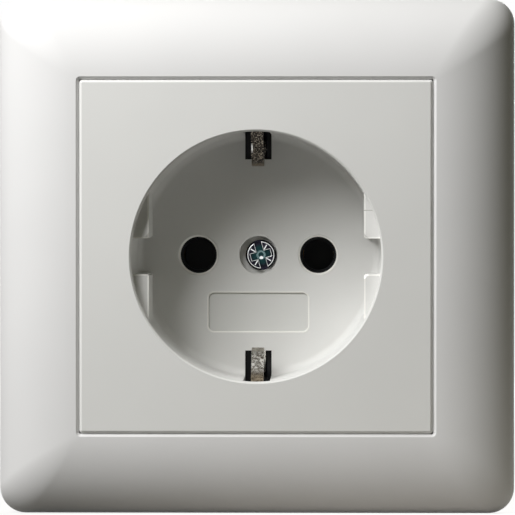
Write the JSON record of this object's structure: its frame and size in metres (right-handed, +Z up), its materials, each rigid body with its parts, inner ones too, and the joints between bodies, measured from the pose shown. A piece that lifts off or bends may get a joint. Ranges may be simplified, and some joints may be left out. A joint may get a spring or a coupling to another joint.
{
  "type": "type f wall socket",
  "caption": "Flush wall socket with a round well, side earth contacts and flat guides, in a square cushion-shaped cover frame, with screwless terminals and claws behind.",
  "frame": {"origin": "middle of the slots for the box screws, on the wall's surface", "axes": "+X to the right and +Z up as one faces the socket, +Y into the wall"},
  "size_m": [0.0808, 0.0428, 0.0808],
  "materials": {
    "frame_plastic": "satin moulded thermoplastic, warm neutral white",
    "plate_plastic": "satin moulded thermoplastic with a very fine grain, warm neutral white",
    "black_plastic": "black moulded thermoplastic",
    "cover_plastic": "dark grey moulded thermoplastic",
    "pusher_plastic": "pale grey moulded thermoplastic",
    "ring_steel": "pressed steel sheet, zinc plated",
    "zinc_steel": "zinc plated steel fasteners",
    "spring_steel": "stainless spring strip",
    "nickel": "nickel plated brass strip, worn and mottled where plugs rub",
    "brass": "pressed brass"
  },
  "bodies": {
    "socket": {"cover_frame": "frame_plastic", "centre_plate": "plate_plastic", "centre_screw": "zinc_steel", "centre_bush": "brass", "support_ring": "ring_steel", "ring_rivets": "zinc_steel", "socket_base": "black_plastic", "earth_strap": "nickel", "line_contact": "brass", "line_grip_spring": "spring_steel", "neutral_contact": "brass", "neutral_grip_spring": "spring_steel", "line_clamp_spring": "spring_steel", "neutral_clamp_spring": "spring_steel", "earth_clamp_spring": "spring_steel", "rear_cover": "cover_plastic", "cover_screws": "zinc_steel", "left_claw_screw": "zinc_steel", "right_claw_screw": "zinc_steel"},
    "line_pusher": {"line_release_pusher": "pusher_plastic"},
    "neutral_pusher": {"neutral_release_pusher": "pusher_plastic"},
    "earth_pusher": {"earth_release_pusher": "pusher_plastic"},
    "left_spreading_claw": {"left_claw": "ring_steel"},
    "right_spreading_claw": {"right_claw": "ring_steel"}
  },
  "joints": [
    {"name": "line_release", "type": "slide", "parent": "socket", "child": "line_pusher", "axis": [0, -1, 0], "range_m": [0, 0.0012], "stiffness_N_per_m": 800, "springref_m": -0.001},
    {"name": "neutral_release", "type": "slide", "parent": "socket", "child": "neutral_pusher", "axis": [0, -1, 0], "range_m": [0, 0.0012], "stiffness_N_per_m": 800, "springref_m": -0.001},
    {"name": "earth_release", "type": "slide", "parent": "socket", "child": "earth_pusher", "axis": [0, -1, 0], "range_m": [0, 0.0012], "stiffness_N_per_m": 800, "springref_m": -0.001},
    {"name": "left_claw_spread", "type": "hinge", "parent": "socket", "child": "left_spreading_claw", "pos_m": [-0.0223, 0.0014, 0], "axis": [0, 0, 1], "range_deg": [0, 20]},
    {"name": "right_claw_spread", "type": "hinge", "parent": "socket", "child": "right_spreading_claw", "pos_m": [0.0223, 0.0014, 0], "axis": [0, 0, -1], "range_deg": [0, 20]}
  ]
}
